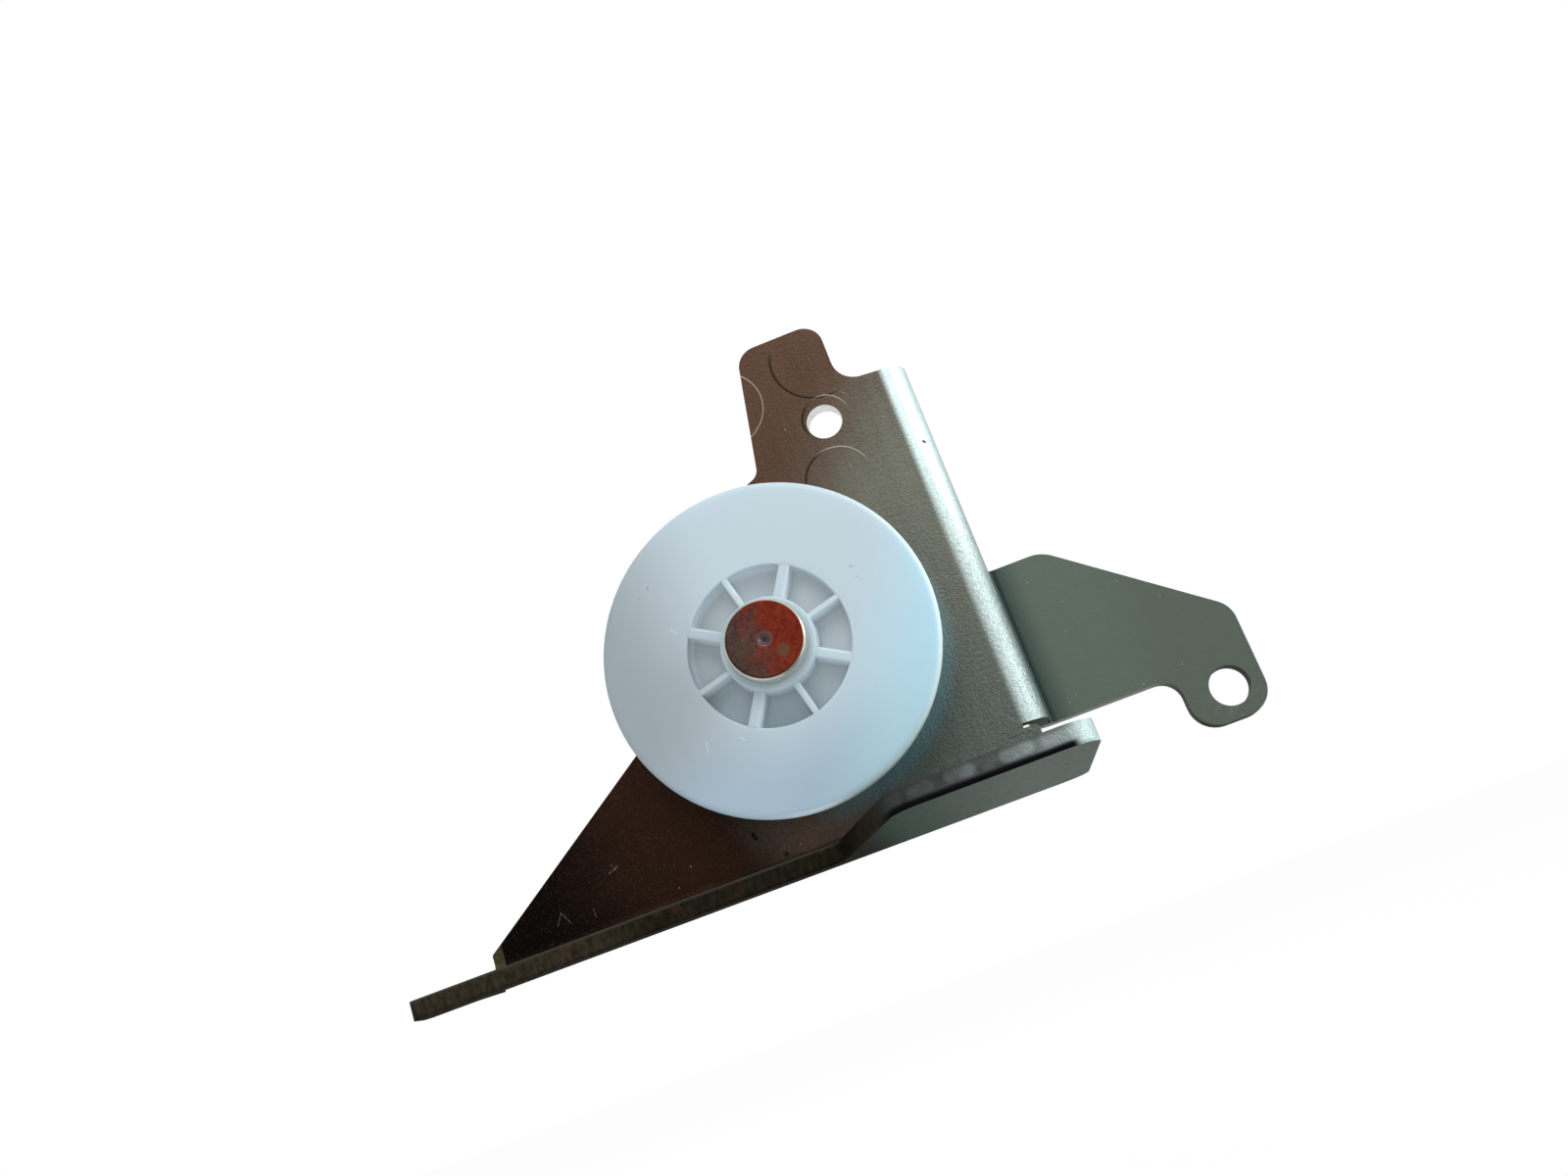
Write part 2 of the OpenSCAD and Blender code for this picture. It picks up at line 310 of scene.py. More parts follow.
def rib_columns(radius, fine):
    """Angle and rib height of every column at each radius, as two arrays (radius, column).

    Round one rib the columns stand at fixed distances from its middle line: at the
    foot and the top of both walls. The angle of a distance d at radius r is the
    arc sine of d / r. The gap up to the next rib is shared out evenly. The height
    is 1 on top of a rib and 0 on the floor.
    """
    half_width = np.where(np.arange(RIBS) % 2 == 0, RIB_WIDE, RIB_NARROW) / 2
    middle = FIRST_RIB + np.arange(RIBS) * 2 * np.pi / RIBS
    offsets = np.array([-1, -1, -0.5, 0.5, 1, 1])
    lean = np.array([-RIB_DRAFT, 0.05, 0, 0, -0.05, RIB_DRAFT])
    lift = np.array([0, 1, 1, 1, 1, 0])
    d = offsets[None, :] * half_width[:, None] + lean[None, :]
    safe = np.maximum(radius, HUB_R)[:, None, None]
    on_rib = middle[None, :, None] + np.arcsin(d[None] / safe)
    left, right = on_rib[:, :, -1], np.roll(on_rib[:, :, 0], -1, axis=1)
    right = right + np.where(np.arange(RIBS) == RIBS - 1, 2 * np.pi, 0)[None]
    t = np.arange(1, fine)[None, None] / fine
    between = left[:, :, None] * (1 - t) + right[:, :, None] * t
    angle = np.concatenate([on_rib, between], axis=2).reshape(len(radius), -1)
    height = np.concatenate([lift, np.zeros(fine - 1)])
    return angle, np.tile(height, RIBS)


angle, height = rib_columns(np.array([HUB_R, RECESS_R]), 14)
print("columns round the roller:", angle.shape[1], "rib columns:", int(height.sum()))


# %% Roller surface
def roller_surface():
    """Roller: (radius, y) runs along the section, the angle runs round the axis.

    Points of the recess that lie deeper than the face are moved towards it by the
    rib height of their column, so that the ribs end level with the face.
    """
    floor_y = FACE + RECESS_DEPTH
    section = round_corners(
        [
            (BORE_R, HUB_FACE, 0.12),
            (HUB_R, HUB_FACE, 0.3),
            (HUB_R + 0.02, FACE, 0.05),
            (HUB_R + 0.12, floor_y, 0.25),
            (RECESS_R - 0.12, floor_y, 0.25),
            (RECESS_R, FACE, 0.16),
            (RIM_R, FACE, 0.75),
            (RIM_R, FACE + RIM_T, 0.75),
            (TREAD_R, FACE + RIM_T, 0.5),
            (TREAD_R, ROLLER_BACK, 0.75),
            (HUB_R, ROLLER_BACK, 0.2),
            (HUB_R, -END_CLEARANCE, 0.2),
            (BORE_R, -END_CLEARANCE, 0.12),
        ],
        7,
    )
    section = densify(section, 0.9)
    radius, y = section[:, 0], section[:, 1]
    turn, rib = rib_columns(radius, 14)
    in_recess = (radius > HUB_R - 0.01) & (radius < RECESS_R + 0.01) & (y > FACE) & (y < floor_y + 0.01)
    lifted = y[:, None] + in_recess[:, None] * rib[None] * (FACE - y)[:, None]
    x = AXLE[0] / MM + radius[:, None] * np.cos(turn)
    z = AXLE[2] / MM + radius[:, None] * np.sin(turn)
    return np.stack([x, np.broadcast_to(lifted, x.shape), z], axis=-1)


roller = closed_grid(roller_surface(), "roller_moulding")
face_outwards(roller)
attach(roller, "roller")
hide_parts("roller")
print("roller:", len(roller.data.polygons), "faces")

# %% [markdown]
# ## The rivet
# The rivet was turned from bar. Its head has a chamfered rim that catches the
# light, a face that is very slightly crowned, and the small centre mark of the
# lathe. It is a plain revolve, so one section serves, closed at the axis.


# %% Rivet surface
def rivet_surface(columns):
    """Rivet: the section (radius, y) carried round the axis, with a pole at each end."""
    dimple, depth = 0.65, 0.3
    section = round_corners(
        [
            (0, HEAD_FACE + depth, 0),
            (dimple * 0.5, HEAD_FACE + depth, 0.15),
            (dimple, HEAD_FACE + 0.03, 0.12),
            (HEAD_R - 0.24, HEAD_FACE, 0.08),
            (HEAD_R, HEAD_FACE + 0.24, 0.1),
            (HEAD_R, HEAD_FACE + HEAD_T, 0.15),
            (3.0, HEAD_FACE + HEAD_T, 0.05),
            (3.0, 0.0, 0.05),
            (2.3, 0.0, 0.05),
            (2.3, SHEET_T, 0.05),
            (3.7, SHEET_T, 0.05),
            (3.3, SHEET_T + 0.8, 0.3),
            (1.85, TAIL_END, 0.5),
            (0, TAIL_END, 0),
        ],
        6,
    )
    section = densify(section, 0.8, closed=False)
    turn = np.linspace(0, 2 * np.pi, columns, endpoint=False)
    x = AXLE[0] / MM + section[:, :1] * np.cos(turn)
    z = AXLE[2] / MM + section[:, :1] * np.sin(turn)
    y = np.broadcast_to(section[:, 1:], x.shape)
    return np.stack([x, y, z], axis=-1)


rivet = closed_grid(rivet_surface(96), "rivet_turned", poles=True)
face_outwards(rivet)
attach(rivet, "bracket")
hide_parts("axle_rivet")
print("rivet:", len(rivet.data.polygons), "faces")

# %% [markdown]
# ## The sheet
# A blank is sheared from strip and then folded, so its faces are smooth and
# plated while its edges show the cut: a rolled-over corner and torn steel below.
# The CAD solid already has the right outline and bends. A copy of it gets its
# loose triangles merged, its corners broken by a small bevel, and a mark on every
# face that the shear made, so that the finish can treat those faces differently.

# %% Copy of the sheet with a mark on the sheared faces
PLATE_RIGHT = 7.7
FOLD_RIGHT = 9.3
PLATE_LOW = -43.6
SIDE_LOW = -39.4


def sheared(centre, normal):
    """True where a face lies on the cut edge of the sheet rather than on its rolled face.

    On the plate and the tab a cut face looks along X or Z. On the flange and the
    tongue it looks along X or Y. Past the side bend it looks along Z, and at the
    ends of the lower bend along X.
    """
    x, y, z = centre.T / MM
    nx, ny, nz = np.abs(normal.T)
    in_flange = z < PLATE_LOW - 0.02
    in_fold = in_flange & (y > -1.02) & (x < FOLD_RIGHT + 0.02) & (x > bracket_low[0] + 8.7)
    on_tab = (x > 11.65) & (y > 6.4)
    past_bend = (x > PLATE_RIGHT - 0.02) & (z > SIDE_LOW - 0.02) & ~on_tab
    cut = np.where(in_flange, nz < 0.5, ny < 0.5)
    cut = np.where(in_fold, nx > 0.7, cut)
    cut = np.where(past_bend, nz > 0.7, cut)
    return np.where(on_tab, ny < 0.5, cut)


def sheet_copy(width):
    """Copy of the bracket's solid with merged corners, a bevel of the width given, and marked cut faces."""
    shape = bmesh.new()
    shape.from_mesh(frame["nodes"]["bracket"].data)
    bmesh.ops.remove_doubles(shape, verts=shape.verts, dist=1e-6)
    bmesh.ops.dissolve_limit(
        shape, angle_limit=math.radians(0.6), verts=shape.verts, edges=shape.edges
    )
    shape.normal_update()
    mark = shape.faces.layers.float.new("cut")
    centres = np.array([f.calc_center_median() for f in shape.faces])
    normals = np.array([f.normal for f in shape.faces])
    for face, value in zip(shape.faces, sheared(centres, normals)):
        face[mark] = float(value)
    sharp = [e for e in shape.edges if e.is_manifold and e.calc_face_angle() > math.radians(40)]
    bmesh.ops.bevel(
        shape,
        geom=sharp,
        offset=width * MM,
        segments=3,
        profile=0.5,
        affect="EDGES",
        clamp_overlap=True,
        harden_normals=False,
    )
    many = [f for f in shape.faces if len(f.verts) > 4]
    bmesh.ops.triangulate(shape, faces=many, ngon_method="EAR_CLIP")
    mesh = bpy.data.meshes.new("sheet_folded")
    shape.to_mesh(mesh)
    shape.free()
    mesh.polygons.foreach_set("use_smooth", np.ones(len(mesh.polygons), bool))
    item = bpy.data.objects.new("sheet_folded", mesh)
    bpy.context.collection.objects.link(item)
    even = item.modifiers.new("even_shading", "WEIGHTED_NORMAL")
    even.keep_sharp = False
    even.weight = 90
    return item


sheet = sheet_copy(0.22)
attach(sheet, "bracket")
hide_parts("bracket")
print("sheet:", len(sheet.data.polygons), "faces")

# %% [markdown]
# ## Small tools for node work
# A finish is a graph of nodes. Writing each node by hand hides the idea behind
# the wiring, so a small class adds nodes and joins them in one line each.


# %% Node helper
class Graph:
    """Adds nodes to one tree. Every value may be a number, a tuple or another node's output."""

    def __init__(self, tree):
        self.tree = tree

    def node(self, kind, values=(), **settings):
        item = self.tree.nodes.new(kind)
        for key, value in settings.items():
            setattr(item, key, value)
        for socket, value in dict(values).items():
            self.feed(item.inputs[socket], value)
        return item

    def feed(self, socket, value):
        if isinstance(value, bpy.types.NodeSocket):
            self.tree.links.new(value, socket)
        elif value is not None:
            socket.default_value = value

    def math(self, operation, a, b=None, c=None, clamp=False):
        item = self.node("ShaderNodeMath", operation=operation, use_clamp=clamp)
        for socket, value in zip(item.inputs, (a, b, c)):
            self.feed(socket, value)
        return item.outputs[0]

    def rise(self, value, low, high):
        """0 below low, 1 above high, smooth between them. A low above high falls instead."""
        item = self.node("ShaderNodeMapRange", interpolation_type="SMOOTHSTEP")
        for socket, given in zip(item.inputs, (value, low, high, 0.0, 1.0)):
            self.feed(socket, given)
        return item.outputs[0]

    def blend(self, share, a, b, how="MIX"):
        item = self.node("ShaderNodeMix", data_type="RGBA", blend_type=how)
        self.feed(item.inputs[0], share)
        self.feed(item.inputs[6], a)
        self.feed(item.inputs[7], b)
        return item.outputs[2]

    def noise(self, position, scale, detail=3.0, rough=0.55):
        values = {"Vector": position, "Scale": scale, "Detail": detail, "Roughness": rough}
        return self.node("ShaderNodeTexNoise", values).outputs[0]

    def stretch(self, position, scale, turn=(0, 0, 0), shift=(0, 0, 0)):
        values = {"Vector": position, "Scale": scale, "Rotation": turn, "Location": shift}
        return self.node("ShaderNodeMapping", values, vector_type="POINT").outputs[0]

    def millimetres(self):
        """Object coordinates in millimetres: the row frame."""
        place = self.node("ShaderNodeTexCoord").outputs["Object"]
        return self.stretch(place, (1000, 1000, 1000))

    def axes(self, position):
        return self.node("ShaderNodeSeparateXYZ", {"Vector": position}).outputs


def effect(name, inputs, outputs):
    """New node group. Returns the group, its graph, and its input and output nodes."""
    group = bpy.data.node_groups.new(name, "ShaderNodeTree")
    kinds = {"v": "NodeSocketVector", "f": "NodeSocketFloat", "c": "NodeSocketColor"}
    for label, kind in inputs:
        group.interface.new_socket(label, in_out="INPUT", socket_type=kinds[kind])
    for label, kind in outputs:
        group.interface.new_socket(label, in_out="OUTPUT", socket_type=kinds[kind])
    graph = Graph(group)
    return group, graph, graph.node("NodeGroupInput"), graph.node("NodeGroupOutput")


def place_effect(graph, group, **values):
    """The group as a node in a material. Words of an input's name are joined by an underscore."""
    item = graph.node("ShaderNodeGroup", node_tree=group)
    for label, value in values.items():
        graph.feed(item.inputs[label.replace("_", " ")], value)
    return item.outputs


print("node helper ready")

# %% [markdown]
# ## Effects shared by the finishes
# Each effect is one node group: the grain that the rolls leave in strip, fine
# specks of dust and pits, blotches of stain, stray scratches, and the faint ring
# that a screw's head presses into plating. They only give masks, and each
# material decides what colour or height a mask means.


# %% Grain, specks, blotches, scratches
def grain_effect():
    """Noise stretched along Z: fine lines a few tenths of a millimetre apart."""
    group, g, given, result = effect("rolling_grain", [("Position", "v")], [("Lines", "f"), ("Bands", "f")])
    fine = g.noise(g.stretch(given.outputs[0], (5.5, 5.5, 0.22)), 1.0, 4.0, 0.6)
    broad = g.noise(g.stretch(given.outputs[0], (0.9, 0.9, 0.05)), 1.0, 2.0, 0.5)
    g.feed(result.inputs["Lines"], g.rise(fine, 0.3, 0.7))
    g.feed(result.inputs["Bands"], g.rise(broad, 0.3, 0.7))
    return group


def speck_effect():
    """Round specks: the distance to scattered points, kept only where it is under the size."""
    group, g, given, result = effect(
        "specks", [("Position", "v"), ("Density", "f"), ("Size", "f"), ("Share", "f")], [("Mask", "f")]
    )
    values = {"Vector": given.outputs["Position"], "Scale": given.outputs["Density"]}
    cells = g.node("ShaderNodeTexVoronoi", values, feature="F1")
    edge = g.math("MULTIPLY", given.outputs["Size"], 1.6)
    round_spot = g.rise(cells.outputs["Distance"], edge, given.outputs["Size"])
    pick = g.node("ShaderNodeSeparateColor", {"Color": cells.outputs["Color"]}).outputs[0]
    kept = g.math("LESS_THAN", pick, given.outputs["Share"])
    g.feed(result.inputs["Mask"], g.math("MULTIPLY", round_spot, kept))
    return group


def blotch_effect():
    """Stain with soft edges: noise above a threshold, broken up by a finer noise."""
    group, g, given, result = effect(
        "blotches", [("Position", "v"), ("Scale", "f"), ("Level", "f"), ("Softness", "f")], [("Mask", "f")]
    )
    coarse = g.noise(given.outputs["Position"], given.outputs["Scale"], 5.0, 0.62)
    high = g.math("ADD", given.outputs["Level"], given.outputs["Softness"])
    g.feed(result.inputs["Mask"], g.rise(coarse, given.outputs["Level"], high))
    return group


def scratch_effect():
    """Stray scratches: thin lines where a long stretched noise crosses its middle value."""
    group, g, given, result = effect(
        "scratches", [("Position", "v"), ("Turn", "v"), ("Width", "f"), ("Share", "f")], [("Mask", "f")]
    )
    turned = g.node(
        "ShaderNodeMapping", {"Vector": given.outputs["Position"], "Rotation": given.outputs["Turn"]}
    ).outputs[0]
    line = g.noise(g.stretch(turned, (0.9, 0.9, 0.05)), 1.0, 1.0, 0.4)
    away = g.math("ABSOLUTE", g.math("SUBTRACT", line, 0.5))
    thin = g.rise(away, given.outputs["Width"], 0.0)
    where = g.noise(turned, 0.21, 2.0, 0.5)
    kept = g.rise(where, g.math("SUBTRACT", 1.0, given.outputs["Share"]), 1.0)
    g.feed(result.inputs["Mask"], g.math("MULTIPLY", thin, g.math("MULTIPLY", kept, 3.0, clamp=True)))
    return group


GRAIN = grain_effect()
SPECKS = speck_effect()
BLOTCHES = blotch_effect()
SCRATCHES = scratch_effect()
print("effects:", [g.name for g in bpy.data.node_groups])


# %% Pressed rings
def ring_effect():
    """Faint ring pressed into the plate: one circle in X and Z, strongest on one side.

    The line is 1 on the circle and falls to 0 over its width. The side is where
    the direction from the centre agrees with the direction given.
    """
    group, g, given, result = effect(
        "pressed_ring",
        [("Position", "v"), ("Centre", "v"), ("Radius", "f"), ("Width", "f"), ("Side", "v"), ("Spread", "f")],
        [("Line", "f"), ("Inside", "f")],
    )
    flat = g.node("ShaderNodeVectorMath", operation="MULTIPLY")
    away = g.node("ShaderNodeVectorMath", operation="SUBTRACT")
    g.feed(away.inputs[0], given.outputs["Position"])
    g.feed(away.inputs[1], given.outputs["Centre"])
    g.feed(flat.inputs[0], away.outputs[0])
    g.feed(flat.inputs[1], (1, 0, 1))
    size = g.node("ShaderNodeVectorMath", operation="LENGTH")
    g.feed(size.inputs[0], flat.outputs[0])
    distance = size.outputs["Value"]
    off = g.math("ABSOLUTE", g.math("SUBTRACT", distance, given.outputs["Radius"]))
    line = g.rise(off, given.outputs["Width"], 0.0)
    unit = g.node("ShaderNodeVectorMath", operation="NORMALIZE")
    g.feed(unit.inputs[0], flat.outputs[0])
    agree = g.node("ShaderNodeVectorMath", operation="DOT_PRODUCT")
    g.feed(agree.inputs[0], unit.outputs[0])
    g.feed(agree.inputs[1], given.outputs["Side"])
    start = given.outputs["Spread"]
    side = g.rise(agree.outputs["Value"], start, g.math("ADD", start, 0.35))
    front = g.rise(g.axes(given.outputs["Position"])[1], 0.9, 0.3)
    side = g.math("MULTIPLY", side, front)
    g.feed(result.inputs["Line"], g.math("MULTIPLY", line, side))
    inside = g.rise(distance, given.outputs["Radius"], g.math("SUBTRACT", given.outputs["Radius"], 0.5))
    g.feed(result.inputs["Inside"], g.math("MULTIPLY", inside, front))
    return group


def mark_effect():
    """Short stroke between two places in X and Z: 1 on the line, 0 outside its width.

    With a = from, b = to and p = the point, the nearest place of the line is
    a + t (b - a), where t = (p - a).(b - a) / |b - a|^2, kept between 0 and 1.
    """
    group, g, given, result = effect(
        "stroke", [("Position", "v"), ("From", "v"), ("To", "v"), ("Width", "f")], [("Mask", "f")]
    )

    def vector(operation, a, b, scale=None):
        item = g.node("ShaderNodeVectorMath", operation=operation)
        g.feed(item.inputs[0], a)
        g.feed(item.inputs[1], b)
        g.feed(item.inputs[3], scale)
        return item.outputs

    flat = vector("MULTIPLY", given.outputs["Position"], (1, 0, 1))[0]
    run = vector("SUBTRACT", given.outputs["To"], given.outputs["From"])[0]
    off = vector("SUBTRACT", flat, given.outputs["From"])[0]
    t = g.math("DIVIDE", vector("DOT_PRODUCT", off, run)["Value"], vector("DOT_PRODUCT", run, run)["Value"], clamp=True)
    nearest = vector("SCALE", run, None, t)[0]
    away = vector("LENGTH", vector("SUBTRACT", off, nearest)[0], None)["Value"]
    g.feed(result.inputs["Mask"], g.rise(away, given.outputs["Width"], g.math("MULTIPLY", given.outputs["Width"], 0.3)))
    return group


RING = ring_effect()
STROKE = mark_effect()


def strokes(g, position, lines):
    """Sum of the strokes (x, z, x, z, width), kept at 1 or below."""
    total = 0.0
    for x, z, to_x, to_z, width in lines:
        mask = place_effect(g, STROKE, Position=position, From=(x, 0, z), To=(to_x, 0, to_z), Width=width)[0]
        total = g.math("ADD", total, mask, clamp=True)
    return total


print("ring and stroke effects ready")

# %% [markdown]
# ## Tarnished zinc, with painted light
# Zinc plating is grey-green. On this sheet the ear is painted brown and the left end
# near-black as painted reflections, the plate's right side and the tab stay
# grey-green, and the side bend carries a painted highlight. Places in the frame
# carry those colours, and grain, specks and scratches break them up. The cut faces
# get torn steel with rust tints, and the flange's near edge gets painted highlights and painted shade.


# %% Zinc finish
def material(name):
    """Empty material with a Principled shader. Returns it, its graph and the shader."""
    item = bpy.data.materials.new(name)
    item.use_nodes = True
    return item, Graph(item.node_tree), item.node_tree.nodes["Principled BSDF"]


def pressed_rings(g, mm):
    """Rings round the upper screw hole. Returns the dark and the light lines as two masks.

    Each ring is given by its centre (x, z), its radius, the direction in which it
    shows most, and how narrow that side is.
    """
    dark_rings = [
        ((1.65, 0, 8.0), 5.2, (-0.8, 0, -0.6), 0.35),
        ((0.2, 0, 0.3), 2.6, (-0.95, 0, 0.3), 0.6),
        ((-0.8, 0, -7.0), 3.7, (-0.9, 0, 0.4), 0.3),
    ]
    light_rings = [
        ((-10.3, 0, 5.7), 4.6, (0.95, 0, 0.3), -0.2),
        ((0.2, 0, 0.3), 2.8, (0.6, 0, 0.8), 0.6),
        ((-0.8, 0, -7.0), 3.8, (0.45, 0, 0.89), 0.55),
    ]
    sums = []
    for rings, width in ((dark_rings, 0.22), (light_rings, 0.13)):
        total = 0.0
        for centre, radius, side, spread in rings:
            line = place_effect(
                g, RING, Position=mm, Centre=centre, Radius=radius, Width=width, Side=side, Spread=spread
            )[0]
            total = g.math("ADD", total, line)
        sums.append(total)
    return sums


def grain_share(g, y, z):
    """How much the leather grain shows: full low on the plate, half on the ear, hardly on the tab."""
    share = g.math("SUBTRACT", 0.9, g.math("MULTIPLY", g.rise(z, -22.0, -8.0), 0.4))
    return g.math("MULTIPLY", share, g.math("SUBTRACT", 1.0, g.math("MULTIPLY", g.rise(y, 4.0, 6.0), 0.88)))


def rolled_colour(g, mm, lines, bands):
    """Colour of the rolled faces by place: brown ear and dark left end as painted reflections, grey right side, green
    tab, the roller's painted reflection on the plate, painted shade in the tab's fold and on the underside, and a
    painted highlight on the side bend.
    """
    x, y, z = g.axes(mm)[0:3]
    grey_zinc = (0.126, 0.130, 0.106, 1)
    low = (0.106, 0.121, 0.107, 1)
    brown = (0.073, 0.042, 0.028, 1)
    dark = (0.0035, 0.002, 0.0014, 1)
    umber = (0.024, 0.011, 0.006, 1)
    green = (0.118, 0.150, 0.122, 1)
    bend_highlight = (0.64, 0.78, 0.77, 1)
    bend_highlight_low = (0.40, 0.47, 0.46, 1)

    drift = g.math("MULTIPLY", g.math("SUBTRACT", g.noise(mm, 0.09, 2.0), 0.5), 12.0)
    up_left = g.math("SUBTRACT", g.math("ADD", z, drift), g.math("MULTIPLY", x, 0.9))
    colour = g.blend(g.rise(g.math("ADD", z, drift), -22.0, -36.0), grey_zinc, low)
    # Painted reflections: brown towards the upper left over the ear, then umber and near-black towards the left end.
    colour = g.blend(g.rise(up_left, -14.0, 6.0), colour, brown)
    left = g.math("ADD", g.math("ADD", g.math("MULTIPLY", x, 1.15), g.math("MULTIPLY", z, 0.35)), drift)
    colour = g.blend(g.rise(left, -22.0, -44.0), colour, umber)
    colour = g.blend(g.rise(left, -48.0, -68.0), colour, dark)
    colour = g.blend(g.rise(y, 4.2, 7.0), colour, g.blend(g.rise(x, 19.0, 27.0), green, (0.107, 0.133, 0.110, 1)))
    # Painted reflection of the roller in the plate: a cyan band just outside its lower right rim.
    from_axle = g.axes(g.stretch(mm, (1, 1, 1), shift=tuple(-AXLE / MM)))
    across = g.math("ADD", g.math("MULTIPLY", from_axle[0], 0.77), g.math("MULTIPLY", from_axle[2], -0.64))
    squared = g.math("ADD", g.math("POWER", from_axle[0], 2.0), g.math("POWER", from_axle[2], 2.0))
    glow = g.math("MULTIPLY", g.rise(g.math("SQRT", squared), 19.4, 16.4), g.rise(across, 8.0, 14.0))
    ruddy = g.math("MULTIPLY", g.rise(z, -34.0, -40.0), g.math("MULTIPLY", g.rise(x, -24.0, -16.0), g.rise(x, -6.0, -12.0)))
    front = g.rise(y, 0.9, 0.3)
    colour = g.blend(g.math("MULTIPLY", g.math("MULTIPLY", ruddy, front), 0.8), colour, (0.105, 0.062, 0.042, 1))
    glow = g.math("MULTIPLY", glow, front)
    colour = g.blend(g.math("MULTIPLY", glow, 0.85), colour, (0.16, 0.27, 0.29, 1))
    # Painted shade in the concave fold between the side bend and the tab, darkest in its crease.
    in_fold = g.math("MULTIPLY", g.rise(x, 14.6, 11.2), g.math("MULTIPLY", g.rise(x, 10.75, 10.9), g.rise(y, 5.0, 6.0)))
    colour = g.blend(g.math("MULTIPLY", in_fold, 0.7), colour, (0.030, 0.055, 0.050, 1))
    crease_shade = g.math("MULTIPLY", in_fold, g.rise(x, 12.0, 11.3))
    colour = g.blend(g.math("MULTIPLY", crease_shade, 0.85), colour, (0.010, 0.018, 0.017, 1))
    foot = g.math("MULTIPLY", g.rise(x, -51.7, -51.9), g.math("MULTIPLY", g.rise(z, -44.4, -44.2), front))
    colour = g.blend(foot, colour, (0.060, 0.045, 0.024, 1))
    # Painted shade on the flange's underside, which grows darker towards the left.
    under = g.blend(g.rise(x, -9.0, 7.0), (0.052, 0.082, 0.066, 1), (0.160, 0.186, 0.165, 1))
    under = g.blend(g.rise(x, -6.0, -12.0), under, (0.010, 0.008, 0.004, 1))
    colour = g.blend(g.rise(z, -46.2, -46.5), colour, under)
    # Painted highlight along the side bend, brightest at its top.
    on_bend = g.math("MULTIPLY", g.rise(x, 7.4, 8.4), g.rise(y, 5.2, 3.4))
    painted_light = g.blend(g.rise(z, -2.0, -26.0), bend_highlight, bend_highlight_low)
    colour = g.blend(g.math("MULTIPLY", on_bend, g.rise(z, -39.6, -39.3)), colour, painted_light)

    shade = g.math("ADD", 0.96, g.math("MULTIPLY", lines, 0.08))
    shade = g.math("MULTIPLY", shade, g.math("ADD", 0.95, g.math("MULTIPLY", bands, 0.1)))
    leather = g.math("SUBTRACT", g.noise(mm, 2.8, 3.0, 0.75), 0.5)
    shade = g.math("MULTIPLY", shade, g.math("ADD", 1.0, g.math("MULTIPLY", leather, grain_share(g, y, z))))
    tone = g.node("ShaderNodeCombineColor", {0: shade, 1: shade, 2: shade}).outputs[0]
    return g.blend(1.0, colour, tone, "MULTIPLY")


# Strokes of painted highlight on the flange's near edge: x, z, x, z, width.
EDGE_HIGHLIGHTS = [
    (-7.1, -45.5, -6.0, -45.4, 0.9),
    (-4.6, -45.6, -3.2, -45.4, 0.9),
    (-1.0, -45.3, 0.5, -45.3, 1.0),
    (4.0, -45.3, 5.8, -45.2, 1.1),
    (7.7, -45.2, 9.4, -45.1, 1.2),
]


